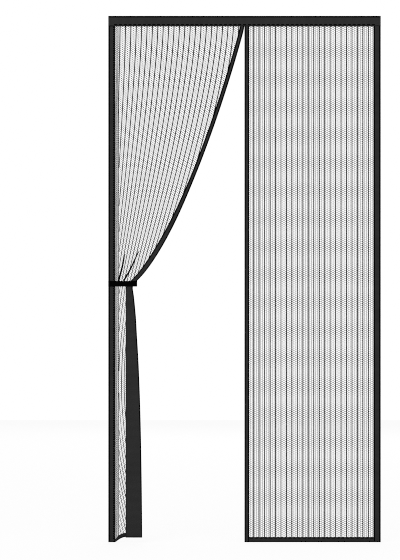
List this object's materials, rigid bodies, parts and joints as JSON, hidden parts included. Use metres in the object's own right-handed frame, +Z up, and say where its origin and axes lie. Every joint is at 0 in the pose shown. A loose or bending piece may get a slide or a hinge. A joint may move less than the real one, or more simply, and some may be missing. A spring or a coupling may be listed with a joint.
{
  "type": "magnetic insect screen",
  "caption": "Black mesh door screen with a taped header and borders; magnets in the centre bindings hold it shut, one panel hangs straight and the other is tied back in a curve.",
  "frame": {"origin": "centre of the adhesive face of the top hook tape, the flat face that lies on the door frame behind the header", "axes": "+X to the right seen from the front, +Z up, +Y into the door frame, so the front of the screen faces -Y"},
  "size_m": [1.09, 0.0256, 2.105],
  "materials": {
    "binding_cloth": "matt black woven polyester tape, folded over the edges and stitched",
    "net_yarn": "black warp-knitted polyester net with heavier lengthwise stripes",
    "strap_cloth": "deep black soft webbing",
    "hook_plastic": "black nylon hook tape with an adhesive back",
    "loop_pile": "black nylon loop tape",
    "magnet_steel": "nickel-plated magnet bars"
  },
  "bodies": {
    "root": {"header_tape": "binding_cloth", "left_border_tape": "binding_cloth", "right_border_tape": "binding_cloth", "right_magnet_binding": "binding_cloth", "left_magnet_binding": "binding_cloth", "right_hem": "binding_cloth", "left_hem": "binding_cloth", "right_net": "net_yarn", "left_net": "net_yarn", "tieback_strap": "strap_cloth", "top_hook_tape": "hook_plastic", "left_hook_tape": "hook_plastic", "right_hook_tape": "hook_plastic", "strap_hook_pad": "hook_plastic", "top_loop_tape": "loop_pile", "left_loop_tape": "loop_pile", "right_loop_tape": "loop_pile", "strap_loop_pad": "loop_pile", "right_magnet_01": "magnet_steel", "right_magnet_02": "magnet_steel", "right_magnet_03": "magnet_steel", "right_magnet_04": "magnet_steel", "right_magnet_05": "magnet_steel", "right_magnet_06": "magnet_steel", "right_magnet_07": "magnet_steel", "right_magnet_08": "magnet_steel", "right_magnet_09": "magnet_steel", "right_magnet_10": "magnet_steel", "right_magnet_11": "magnet_steel", "right_magnet_12": "magnet_steel", "right_magnet_13": "magnet_steel", "left_magnet_01": "magnet_steel", "left_magnet_02": "magnet_steel", "left_magnet_03": "magnet_steel", "left_magnet_04": "magnet_steel", "left_magnet_05": "magnet_steel", "left_magnet_06": "magnet_steel", "left_magnet_07": "magnet_steel", "left_magnet_08": "magnet_steel", "left_magnet_09": "magnet_steel", "left_magnet_10": "magnet_steel", "left_magnet_11": "magnet_steel", "left_magnet_12": "magnet_steel", "left_magnet_13": "magnet_steel"}
  },
  "joints": []
}
